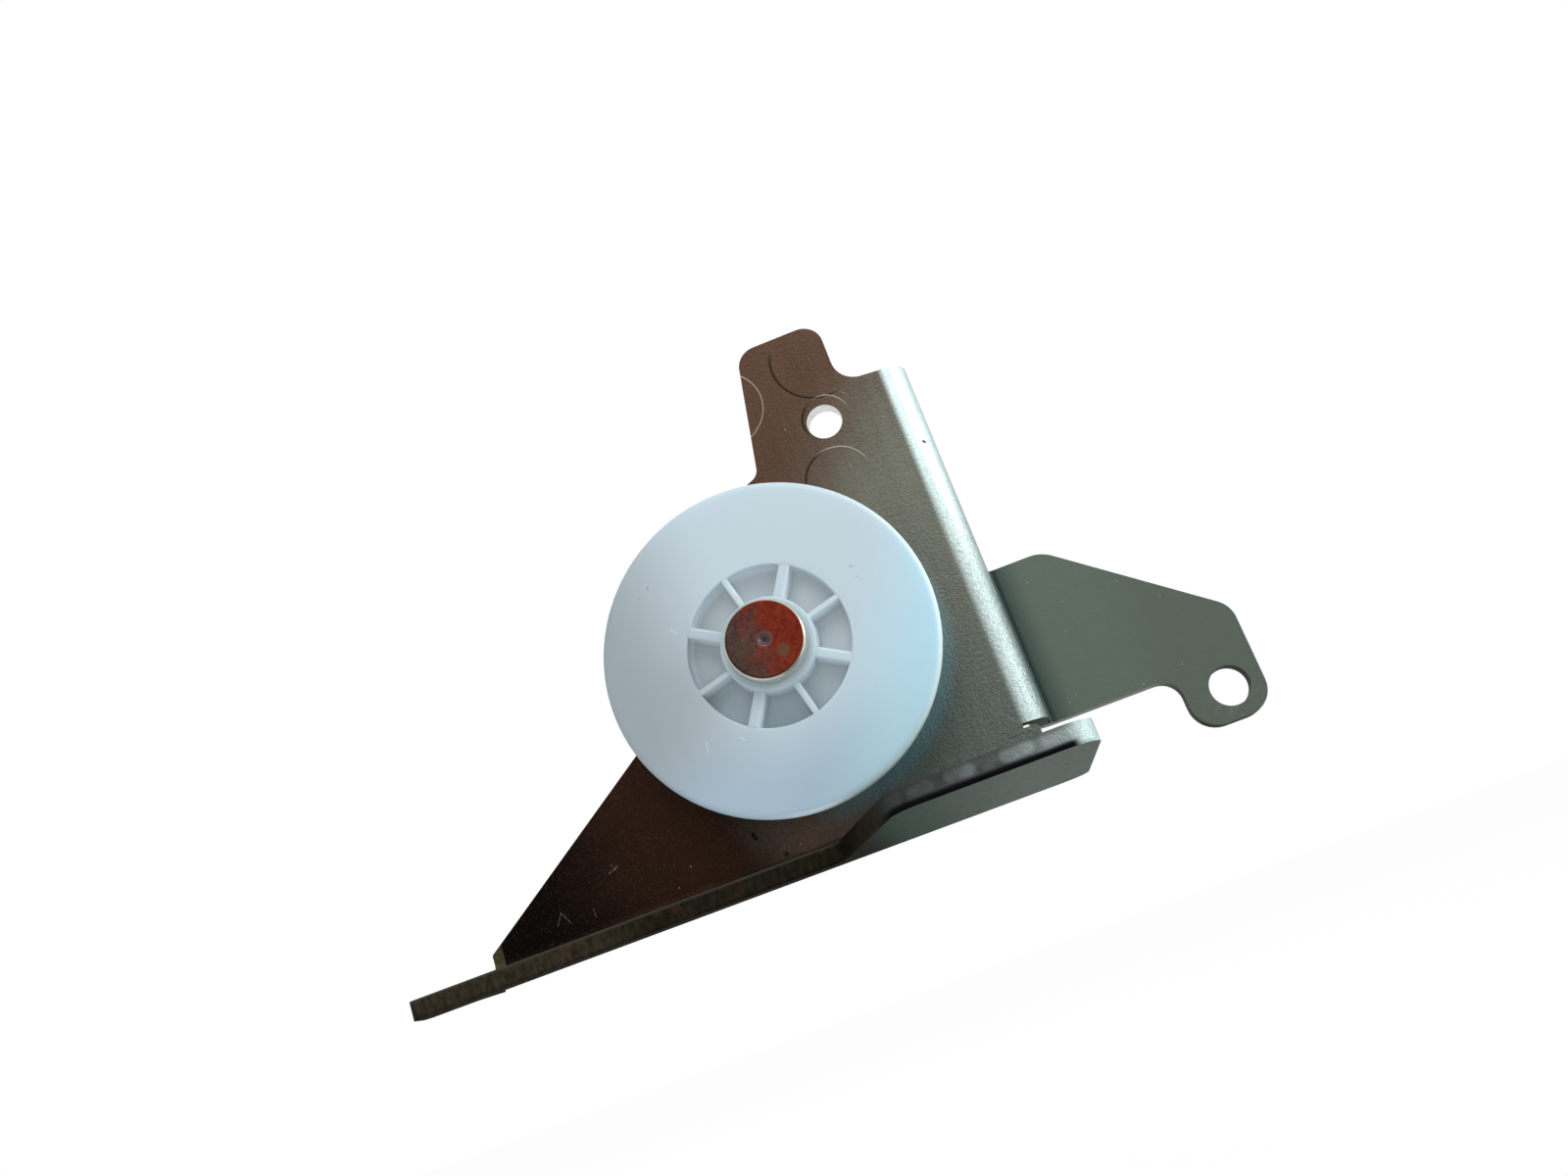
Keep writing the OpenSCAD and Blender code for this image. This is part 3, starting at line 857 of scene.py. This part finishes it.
def cut_colour(g, mm):
    """Colour of the sheared faces: torn olive-brown steel with rust tints and painted shade on the left; on the
    flange's near edge painted highlights, a painted shade band, a painted dark line along the rolled-over corner and a
    painted highlight at its end; the hole's wall painted near white.
    """
    x, y, z = g.axes(mm)[0:3]
    torn = g.noise(g.stretch(mm, (1.8, 1.8, 0.8)), 1.0, 4.0, 0.6)
    steel = g.blend(g.rise(torn, 0.25, 0.75), (0.017, 0.013, 0.007, 1), (0.044, 0.037, 0.023, 1))
    shaded = g.math("MULTIPLY", g.rise(x, -44.0, -32.0), g.rise(x, -9.0, -13.0))
    steel = g.blend(shaded, steel, g.blend(0.6, steel, (0.003, 0.002, 0.001, 1)))
    # Painted highlight: a thin lighter line along the top of the low strip's cut edge.
    edge = g.math("MULTIPLY", g.rise(z, -44.95, -44.65), g.rise(y, -6.5, -5.0))
    steel = g.blend(g.math("MULTIPLY", edge, 0.6), steel, (0.07, 0.072, 0.06, 1))
    tab_low = g.math("MULTIPLY", g.rise(x, 26.0, 22.0), g.math("MULTIPLY", g.rise(z, -38.6, -39.0), g.rise(y, 6.8, 7.4)))
    steel = g.blend(tab_low, steel, (0.26, 0.27, 0.25, 1))
    rust = place_effect(g, BLOTCHES, Position=mm, Scale=0.3, Level=0.58, Softness=0.08)[0]
    steel = g.blend(g.math("MULTIPLY", rust, 0.3), steel, (0.07, 0.032, 0.013, 1))
    # Painted highlights along the flange's near edge, in strokes and patches on a grey that grows paler to the right,
    # with painted shade between them that thins towards the right.
    patchy = g.rise(g.noise(g.stretch(mm, (0.5, 0.5, 0.7), shift=(0.6, 0, 0)), 1.0, 2.5, 0.5), 0.36, 0.64)
    highlight_strokes = g.math("MULTIPLY", strokes(g, mm, EDGE_HIGHLIGHTS), g.math("ADD", 0.6, g.math("MULTIPLY", patchy, 0.4)))
    highlight_mottle = g.math("MAXIMUM", highlight_strokes, g.math("MULTIPLY", patchy, 0.3))
    pale = g.blend(g.rise(x, -6.0, 11.0), (0.060, 0.068, 0.068, 1), (0.27, 0.315, 0.305, 1))
    shade_share = g.math("SUBTRACT", 0.85, g.math("MULTIPLY", g.rise(x, 5.0, 8.0), 0.55))
    painted_light = g.blend(highlight_mottle, g.blend(shade_share, pale, (0.024, 0.024, 0.022, 1)), pale)
    # Painted shade on the upper band of the near edge.
    painted_light = g.blend(g.math("MULTIPLY", g.rise(z, -45.2, -44.65), 0.6), painted_light, (0.05, 0.055, 0.05, 1))
    # Painted highlight on the rounded right end of the near edge.
    end = g.rise(g.math("ADD", x, g.math("MULTIPLY", y, -0.15)), 13.0, 15.6)
    painted_light = g.blend(end, painted_light, (0.56, 0.68, 0.68, 1))
    # Painted dark line along the rolled-over lower corner of the near edge.
    dark_roll_line = g.math("MULTIPLY", g.rise(z, -45.85, -46.25), g.rise(end, 0.5, 0.1))
    painted_light = g.blend(dark_roll_line, painted_light, (0.004, 0.004, 0.005, 1))
    near = g.rise(y, -19.0, -27.0)
    steel = g.blend(near, steel, painted_light)
    # The hole's wall, which lies in shade, is painted near white.
    flat = g.node("ShaderNodeVectorMath", operation="MULTIPLY")
    g.feed(flat.inputs[0], mm)
    g.feed(flat.inputs[1], (1, 0, 1))
    distance = g.node("ShaderNodeVectorMath", operation="LENGTH")
    g.feed(distance.inputs[0], flat.outputs[0])
    hole_painted_white = g.rise(distance.outputs["Value"], 2.5, 2.1)
    return g.blend(hole_painted_white, steel, (0.95, 0.95, 0.93, 1))


PLATE_SCUFFS = [
    (5.8, -37.4, 8.4, -40.2, 0.09),
    (-45.3, -42.2, -44.6, -41.0, 0.08),
    (-44.6, -41.0, -43.9, -42.3, 0.08),
    (-41.1, -42.6, -41.1, -41.8, 0.07),
    (-38.4, -38.9, -37.4, -38.5, 0.12),
    (-38.0, -38.1, -37.6, -38.8, 0.07),
    (-4.4, -42.9, -4.0, -42.3, 0.09),
    (2.3, 3.4, 3.3, 2.2, 0.08),
]
PLATE_PITS = [
    (-22.6, -40.3, -22.4, -40.9, 0.3),
    (5.0, 4.9, 6.0, 5.6, 0.12),
    (9.4, -6.3, 9.5, -6.4, 0.25),
]


def zinc_finish():
    """Zinc: rolled colour by place, pressed rings, specks and scratches; cut faces by the mark on the mesh."""
    item, g, shader = material("zinc_tarnished")
    mm = g.millimetres()
    lines, bands = place_effect(g, GRAIN, Position=mm)[0:2]
    rolled = g.math("SUBTRACT", 1.0, g.math("MULTIPLY", g.rise(g.axes(mm)[1], 4.0, 6.0), 0.85))
    lines, bands = g.math("MULTIPLY", lines, rolled), g.math("MULTIPLY", bands, rolled)
    colour = rolled_colour(g, mm, lines, bands)

    dust = place_effect(g, SPECKS, Position=mm, Density=1.1, Size=0.07, Share=0.14)[0]
    colour = g.blend(g.math("MULTIPLY", dust, 0.4), colour, (0.45, 0.45, 0.4, 1))
    glints = place_effect(g, SPECKS, Position=mm, Density=4.5, Size=0.2, Share=0.45)[0]
    glints = g.math("MULTIPLY", glints, g.rise(g.axes(mm)[1], 4.0, 3.0))
    colour = g.blend(g.math("MULTIPLY", glints, 0.08), colour, (0.32, 0.24, 0.19, 1))
    moved = g.stretch(mm, (1, 1, 1), shift=(31, 7, 3))
    pits = place_effect(g, SPECKS, Position=moved, Density=0.45, Size=0.1, Share=0.07)[0]
    pits = g.math("MULTIPLY", pits, g.rise(g.axes(mm)[1], 4.0, 2.0))
    colour = g.blend(g.math("MULTIPLY", pits, 0.8), colour, (0.012, 0.01, 0.008, 1))
    scored = place_effect(g, SCRATCHES, Position=mm, Turn=(0, 0.5, 0), Width=0.004, Share=0.4)[0]
    colour = g.blend(g.math("MULTIPLY", scored, 0.1), colour, (0.42, 0.4, 0.34, 1))
    front = g.rise(g.axes(mm)[1], 3.6, 3.0)
    front = g.math("MULTIPLY", front, g.math("MAXIMUM", g.rise(g.axes(mm)[1], 0.9, 0.3), g.rise(g.axes(mm)[0], 8.0, 9.0)))
    scuffs = g.math("MULTIPLY", strokes(g, mm, PLATE_SCUFFS), front)
    scuffs = g.math("MULTIPLY", scuffs, g.rise(g.noise(mm, 2.4, 2.0), 0.3, 0.6))
    colour = g.blend(g.math("MULTIPLY", scuffs, 0.27), colour, (0.3, 0.31, 0.28, 1))
    colour = g.blend(g.math("MULTIPLY", strokes(g, mm, PLATE_PITS), front), colour, (0.006, 0.005, 0.004, 1))
    dark_line, light_line = pressed_rings(g, mm)
    colour = g.blend(g.math("MULTIPLY", dark_line, 0.9, clamp=True), colour, (0.015, 0.01, 0.008, 1))
    colour = g.blend(g.math("MULTIPLY", light_line, 0.5, clamp=True), colour, (0.5, 0.44, 0.36, 1))

    cut = g.node("ShaderNodeAttribute", attribute_name="cut").outputs["Fac"]
    g.feed(shader.inputs["Base Color"], g.blend(cut, colour, cut_colour(g, mm)))
    shader.inputs["Metallic"].default_value = 0.85
    shader.inputs["Specular IOR Level"].default_value = 0.3
    shader.inputs["Specular Tint"].default_value = (0.42, 0.43, 0.42, 1)
    rough = g.math("ADD", 0.36, g.math("MULTIPLY", lines, 0.06))
    rough = g.math("ADD", rough, g.math("MULTIPLY", cut, 0.15))
    below = g.rise(g.axes(mm)[2], -46.2, -46.5)
    g.feed(shader.inputs["Roughness"], g.math("ADD", rough, g.math("MULTIPLY", below, 0.3)))

    y, z = g.axes(mm)[1:3]
    leather = g.math("MULTIPLY", g.noise(mm, 2.8, 3.0, 0.75), g.math("MULTIPLY", grain_share(g, y, z), 3.3))
    height = g.math("ADD", g.math("MULTIPLY", lines, 0.15), leather)
    height = g.math("ADD", height, g.math("MULTIPLY", g.noise(mm, 0.6, 2.0), 0.8))
    height = g.math("SUBTRACT", height, g.math("MULTIPLY", pits, 0.8))
    height = g.math("SUBTRACT", height, dark_line)
    height = g.math("ADD", height, light_line)
    torn = g.noise(g.stretch(mm, (2.6, 2.6, 0.8)), 1.0, 4.0, 0.65)
    height = g.math("ADD", height, g.math("MULTIPLY", g.math("MULTIPLY", torn, cut), 2.5))
    relief = g.node("ShaderNodeBump", {"Strength": 0.8, "Distance": 0.00005, "Height": height})
    g.feed(shader.inputs["Normal"], relief.outputs[0])
    return item


ZINC = zinc_finish()
sheet.data.materials.clear()
sheet.data.materials.append(ZINC)
print("finish:", ZINC.name)

# %% [markdown]
# ## Stained rivet head
# The head's face is rust red on the right and purple-brown on the left, with
# small pale specks and lathe marks round the centre. Its rim kept its plating.


# %% Rivet finish
def rivet_finish():
    """Rivet: stain on the face by place, bare plating on the rim, lathe rings as relief."""
    item, g, shader = material("rivet_stained")
    mm = g.millimetres()
    x, y, z = g.axes(g.stretch(mm, (1, 1, 1), shift=tuple(-AXLE / MM)))[0:3]
    squared = g.math("ADD", g.math("MULTIPLY", x, x), g.math("MULTIPLY", z, z))
    radius = g.math("SQRT", squared)
    blot = g.noise(mm, 0.8, 5.0, 0.65)
    side = g.math("ADD", x, g.math("MULTIPLY", g.math("SUBTRACT", blot, 0.5), 7.0))
    fleck = g.rise(g.noise(mm, 1.7, 7.0, 0.85), 0.34, 0.66)
    brown = g.blend(fleck, (0.034, 0.021, 0.016, 1), (0.082, 0.047, 0.042, 1))
    red = g.blend(fleck, (0.094, 0.008, 0.003, 1), (0.205, 0.026, 0.009, 1))
    colour = g.blend(g.rise(side, -3.0, 1.6), brown, red)
    olive = g.math("ADD", g.math("POWER", g.math("ADD", x, 2.3), 2.0), g.math("POWER", g.math("ADD", z, 0.2), 2.0))
    colour = g.blend(g.math("MULTIPLY", g.rise(olive, 1.6, 0.2), 0.4), colour, (0.06, 0.05, 0.02, 1))
    grit = place_effect(g, SPECKS, Position=mm, Density=5.5, Size=0.15, Share=0.45)[0]
    grit = g.math("MULTIPLY", grit, g.rise(side, 0.5, -2.0))
    colour = g.blend(g.math("MULTIPLY", grit, 0.35), colour, (0.3, 0.26, 0.24, 1))
    orange = place_effect(g, BLOTCHES, Position=mm, Scale=0.7, Level=0.55, Softness=0.12)[0]
    colour = g.blend(g.math("MULTIPLY", orange, 0.22), colour, (0.17, 0.06, 0.03, 1))
    pale = place_effect(g, SPECKS, Position=mm, Density=3.6, Size=0.14, Share=0.2)[0]
    colour = g.blend(g.math("MULTIPLY", pale, 0.1), colour, (0.5, 0.36, 0.3, 1))
    dark = place_effect(g, SPECKS, Position=g.stretch(mm, (1, 1, 1), shift=(5, 2, 9)), Density=1.9, Size=0.2, Share=0.3)[0]
    colour = g.blend(g.math("MULTIPLY", dark, 0.5), colour, (0.03, 0.018, 0.014, 1))
    blot_at = g.math("ADD", g.math("POWER", g.math("SUBTRACT", x, 1.5), 2.0), g.math("POWER", g.math("ADD", z, 1.7), 2.0))
    blot_at = g.math("ADD", blot_at, g.math("MULTIPLY", g.math("SUBTRACT", fleck, 0.5), 0.5))
    colour = g.blend(g.math("MULTIPLY", g.rise(blot_at, 0.8, 0.0), 0.5), colour, (0.11, 0.085, 0.05, 1))
    colour = g.blend(g.math("MULTIPLY", g.rise(radius, 1.05, 0.6), 0.8), colour, (0.11, 0.08, 0.085, 1))
    colour = g.blend(g.rise(radius, 0.5, 0.1), colour, (0.028, 0.024, 0.026, 1))
    ringed = g.math("MULTIPLY", g.rise(radius, HEAD_R - 0.5, HEAD_R - 0.3), g.rise(g.math("ADD", x, z), 1.0, -3.0))
    colour = g.blend(g.math("MULTIPLY", ringed, 0.7), colour, (0.014, 0.009, 0.008, 1))
    off_face = g.math("MAXIMUM", g.rise(radius, HEAD_R - 0.26, HEAD_R - 0.16), g.rise(y, HEAD_FACE + 0.3, HEAD_FACE + 0.5))
    plating = g.blend(g.noise(mm, 1.2, 3.0), (0.48, 0.46, 0.40, 1), (0.74, 0.73, 0.66, 1))
    colour = g.blend(off_face, colour, plating)
    g.feed(shader.inputs["Base Color"], colour)
    shader.inputs["Metallic"].default_value = 0.75
    shader.inputs["Specular IOR Level"].default_value = 0.25
    g.feed(shader.inputs["Roughness"], g.math("SUBTRACT", 0.42, g.math("MULTIPLY", off_face, 0.16)))
    rings = g.math("SINE", g.math("MULTIPLY", radius, 38.0))
    height = g.math("ADD", g.math("MULTIPLY", rings, 0.12), g.noise(mm, 3.0, 3.0))
    relief = g.node("ShaderNodeBump", {"Strength": 0.3, "Distance": 0.00004, "Height": height})
    g.feed(shader.inputs["Normal"], relief.outputs[0])
    return item


RIVET = rivet_finish()
rivet.data.materials.append(RIVET)
print("finish:", RIVET.name)

# %% [markdown]
# ## Milky nylon
# Natural nylon is white but not opaque. Light enters it, spreads and comes out
# cooler and softer, which subsurface scattering gives. The thin floor of the
# recess lets the dark metal behind it show, so it is greyer than the rim. The face also carries painted shade towards
# the left and the bottom, and painted light at the lower right and on the recess's upper wall.


# %% Nylon finish
ROLLER_MARKS = [
    (-9.1, 5.2, -8.7, 4.7, 0.16),
    (-9.3, -7.2, -9.5, -8.3, 0.1),
    (-5.9, -8.0, -5.5, -8.4, 0.12),
]
ROLLER_SPOTS = [
    (-10.1, 10.3, -10.1, 10.5, 0.14),
    (-11.3, 9.7, -11.3, 9.7001, 0.1),
    (10.6, 4.7, 10.8, 4.6, 0.12),
    (10.9, 3.4, 10.9, 3.4001, 0.12),
]


def nylon_finish():
    """Nylon: pale blue-white with painted shade to the left and bottom and painted light at the lower right and on the
    recess wall, greyer in the thin recess, with faint flow marks and specks.
    """
    item, g, shader = material("nylon_milky")
    mm = g.millimetres()
    x, y, z = g.axes(g.stretch(mm, (1, 1, 1), shift=tuple(-AXLE / MM)))[0:3]
    squared = g.math("ADD", g.math("MULTIPLY", x, x), g.math("MULTIPLY", z, z))
    radius = g.math("SQRT", squared)
    to_left = g.math("ADD", g.math("MULTIPLY", x, -1.0), g.math("MULTIPLY", z, -0.1))
    low_right = g.math("ADD", g.math("MULTIPLY", x, 0.85), g.math("MULTIPLY", z, -0.5))
    # Painted shade: darker towards the left, and blue-grey towards the bottom.
    colour = g.blend(g.rise(to_left, 0.0, 16.0), (0.59, 0.70, 0.77, 1), (0.34, 0.40, 0.43, 1))
    colour = g.blend(g.rise(z, -5.0, -16.0), colour, (0.41, 0.54, 0.66, 1))
    # Painted light: pale cyan towards the lower right, brightest along the rim there.
    colour = g.blend(g.rise(low_right, 6.0, 16.0), colour, (0.53, 0.79, 0.91, 1))
    lit_rim = g.math("MULTIPLY", g.rise(radius, RIM_R - 0.5, RIM_R - 0.1), g.rise(low_right, 2.0, 10.0))
    colour = g.blend(lit_rim, colour, (0.75, 0.93, 1.0, 1))
    deep = g.rise(y, FACE + 0.4, FACE + 1.6)
    in_recess = g.math("MULTIPLY", g.rise(radius, RECESS_R + 0.2, RECESS_R - 0.1), deep)
    # The thin recess floor is greyer than the rim, and painted shade makes it darker towards the bottom left.
    upward = g.math("ADD", z, g.math("MULTIPLY", x, 0.6))
    thin_floor_and_shade = g.blend(g.rise(upward, -8.0, 1.0), (0.39, 0.49, 0.52, 1), (0.60, 0.65, 0.67, 1))
    colour = g.blend(g.math("MULTIPLY", in_recess, 0.7), colour, thin_floor_and_shade)
    # Painted light on the recess wall at its upper left, where it lies in shade.
    wall_painted_light = g.math("MULTIPLY", g.rise(radius, RECESS_R - 0.5, RECESS_R - 0.1), in_recess)
    wall_painted_light = g.math("MULTIPLY", wall_painted_light, g.rise(g.math("ADD", z, g.math("MULTIPLY", x, -0.6)), 1.0, 6.0))
    colour = g.blend(g.math("MULTIPLY", wall_painted_light, 0.7), colour, (0.85, 0.92, 0.97, 1))
    on_hub = g.math("MULTIPLY", g.rise(radius, HUB_R + 0.1, HUB_R - 0.1), g.rise(y, FACE, FACE - 0.2))
    colour = g.blend(g.math("MULTIPLY", on_hub, 0.4), colour, (0.36, 0.46, 0.52, 1))
    cloud = g.noise(mm, 0.12, 3.0)
    colour = g.blend(g.math("MULTIPLY", cloud, 0.1), colour, (0.66, 0.72, 0.76, 1))
    marks = strokes(g, g.stretch(mm, (1, 1, 1), shift=tuple(-AXLE / MM)), ROLLER_MARKS)
    colour = g.blend(g.math("MULTIPLY", marks, 0.3), colour, (0.9, 0.93, 0.95, 1))
    spots = strokes(g, g.stretch(mm, (1, 1, 1), shift=tuple(-AXLE / MM)), ROLLER_SPOTS)
    colour = g.blend(g.math("MULTIPLY", spots, 0.5), colour, (0.16, 0.17, 0.18, 1))
    motes = place_effect(g, SPECKS, Position=mm, Density=0.35, Size=0.03, Share=0.12)[0]
    colour = g.blend(g.math("MULTIPLY", motes, 0.5), colour, (0.12, 0.1, 0.09, 1))
    g.feed(shader.inputs["Base Color"], colour)
    shader.inputs["Subsurface Weight"].default_value = 0.5
    shader.inputs["Subsurface Radius"].default_value = (0.8, 1.0, 1.0)
    shader.inputs["Subsurface Scale"].default_value = 0.0015
    g.feed(shader.inputs["Roughness"], g.math("ADD", 0.42, g.math("MULTIPLY", cloud, 0.12)))
    height = g.noise(mm, 2.2, 3.0)
    relief = g.node("ShaderNodeBump", {"Strength": 0.12, "Distance": 0.00004, "Height": height})
    g.feed(shader.inputs["Normal"], relief.outputs[0])
    return item


NYLON = nylon_finish()
roller.data.materials.append(NYLON)
print("finish:", NYLON.name)

# %% [markdown]
# ## Colour space
# The picture is shown as it is written.

# %% Finish
bpy.context.scene.view_settings.view_transform = "Standard"
